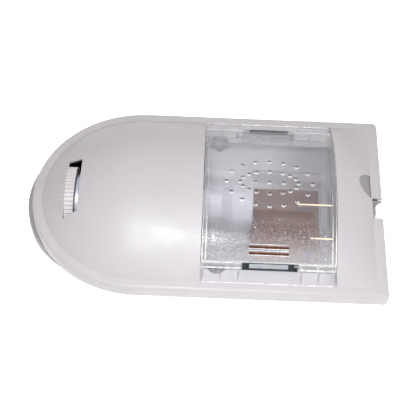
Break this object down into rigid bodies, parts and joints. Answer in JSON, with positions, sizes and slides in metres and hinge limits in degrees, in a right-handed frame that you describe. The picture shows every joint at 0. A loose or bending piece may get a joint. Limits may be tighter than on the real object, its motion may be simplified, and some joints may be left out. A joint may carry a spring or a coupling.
{
  "type": "garage door opener",
  "caption": "Ceiling garage door opener head: crowned cover with rounded end, hand wheel, clear lift-off lens over a lamp bay, rail channel behind.",
  "frame": {"origin": "centre of the bounding box in plan, on the flat back that the unit lies on or is hung by", "axes": "+X from the rounded end to the square end with the notch, +Z from the back out through the cover, +Y to complete a right-hand frame"},
  "size_m": [0.388, 0.24, 0.0946],
  "materials": {
    "cover_plastic": "satin moulded, off-white",
    "pan_plastic": "satin moulded, mid grey",
    "clear_plastic": "clear moulded plastic",
    "catch_plastic": "dark moulded",
    "spring_steel": "bright spring steel",
    "zinc_steel": "bluish zinc plate",
    "screw_steel": "zinc plated",
    "wheel_plastic": "white moulded",
    "shaft_steel": "ground steel",
    "gear_nylon": "natural nylon",
    "bronze": "sintered bronze",
    "cast_alloy": "cast",
    "can_steel": "plated drawn steel",
    "ferrite": "dark ferrite",
    "copper": "enamelled copper",
    "carbon": "dull carbon",
    "black_plastic": "moulded black",
    "holder_plastic": "white moulded, low gloss",
    "brass": "stamped brass",
    "reflector_plastic": "white moulded",
    "pressboard": "brown pressboard",
    "board_green": "circuit board",
    "capacitor_blue": "sleeved",
    "terminal_green": "moulded",
    "knob_blue": "moulded",
    "button_red": "moulded",
    "rubber": "soft",
    "core_steel": "varnished laminations"
  },
  "bodies": {
    "housing": {"top_cover": "cover_plastic", "back_pan": "pan_plastic", "cover_screws": "screw_steel", "rail_clamps": "zinc_steel", "rail_clamp_screws": "screw_steel", "cord_grommet": "rubber", "latch_blocks": "catch_plastic", "wheel_bracket": "zinc_steel", "bracket_screws": "screw_steel", "shaft_bushes": "bronze", "output_bush": "bronze", "gearbox_base": "zinc_steel", "gearbox_housing": "cast_alloy", "gearbox_cover": "cast_alloy", "gearbox_screws": "screw_steel", "motor_can": "can_steel", "motor_magnets": "ferrite", "motor_brushes": "carbon", "motor_end_cap": "black_plastic", "motor_strap": "zinc_steel", "motor_strap_screws": "screw_steel", "lampholder_shell": "holder_plastic", "lampholder_sleeve": "brass", "lampholder_contact": "brass", "lampholder_bracket": "zinc_steel", "lampholder_screws": "screw_steel", "lamp_reflector": "reflector_plastic", "board_shield": "pressboard", "control_board": "board_green", "board_screws": "screw_steel", "relays": "black_plastic", "capacitors": "capacitor_blue", "microcontroller": "black_plastic", "terminal_block": "terminal_green", "fuse_link": "spring_steel", "receiver_module": "board_green", "trimmer_bases": "black_plastic", "button_bases": "black_plastic", "transformer_core": "core_steel", "transformer_winding": "copper", "transformer_screws": "screw_steel", "lampholder_cap": "holder_plastic"},
    "motor_rotor": {"hand_wheel": "wheel_plastic", "motor_shaft": "shaft_steel", "worm": "shaft_steel", "armature": "copper", "commutator": "copper"},
    "reduction": {"worm_wheel": "gear_nylon", "intermediate_shaft": "shaft_steel", "pinion": "shaft_steel"},
    "output": {"output_gear": "gear_nylon", "output_shaft": "shaft_steel", "drive_sprocket": "shaft_steel"},
    "lens": {"lamp_lens": "clear_plastic"},
    "latch_near": {"latch_blade_near": "spring_steel"},
    "latch_far": {"latch_blade_far": "spring_steel"},
    "open_force": {"open_force_knob": "knob_blue"},
    "close_force": {"close_force_knob": "knob_blue"},
    "learn_key": {"learn_button": "button_red"},
    "test_key": {"test_button": "wheel_plastic"}
  },
  "joints": [
    {"name": "motor_spin", "type": "hinge", "parent": "housing", "child": "motor_rotor", "pos_m": [-0.1084, -0.0075, 0.0455], "axis": [1, 0, 0], "continuous": true},
    {"name": "worm_wheel_spin", "type": "hinge", "parent": "housing", "child": "reduction", "pos_m": [-0.1134, 0.017, 0.038], "axis": [0, 0, 1], "continuous": true},
    {"name": "output_spin", "type": "hinge", "parent": "housing", "child": "output", "pos_m": [-0.08054, -0.004, 0.018], "axis": [0, 0, 1], "continuous": true},
    {"name": "lens_lift", "type": "slide", "parent": "housing", "child": "lens", "axis": [0, 0, 1], "range_m": [0, 0.09]},
    {"name": "latch_near_flex", "type": "hinge", "parent": "housing", "child": "latch_near", "pos_m": [0.0691, -0.0905, 0.061], "axis": [-1, 0, 0], "range_deg": [0, 8], "stiffness_Nm_per_rad": 0.5},
    {"name": "latch_far_flex", "type": "hinge", "parent": "housing", "child": "latch_far", "pos_m": [0.0691, 0.0905, 0.061], "axis": [1, 0, 0], "range_deg": [0, 8], "stiffness_Nm_per_rad": 0.5},
    {"name": "open_force_turn", "type": "hinge", "parent": "housing", "child": "open_force", "pos_m": [0.1156, -0.046, 0.02], "axis": [0, 0, 1], "range_deg": [-135, 135]},
    {"name": "close_force_turn", "type": "hinge", "parent": "housing", "child": "close_force", "pos_m": [0.1156, -0.062, 0.02], "axis": [0, 0, 1], "range_deg": [-135, 135]},
    {"name": "learn_press", "type": "slide", "parent": "housing", "child": "learn_key", "axis": [0, 0, -1], "range_m": [0, 0.0008], "stiffness_N_per_m": 300},
    {"name": "test_press", "type": "slide", "parent": "housing", "child": "test_key", "axis": [0, 0, -1], "range_m": [0, 0.0008], "stiffness_N_per_m": 300}
  ],
  "couplings": [
    {"joint": "worm_wheel_spin", "follows": "motor_spin", "ratio": -0.035714},
    {"joint": "output_spin", "follows": "motor_spin", "ratio": 0.010714}
  ]
}
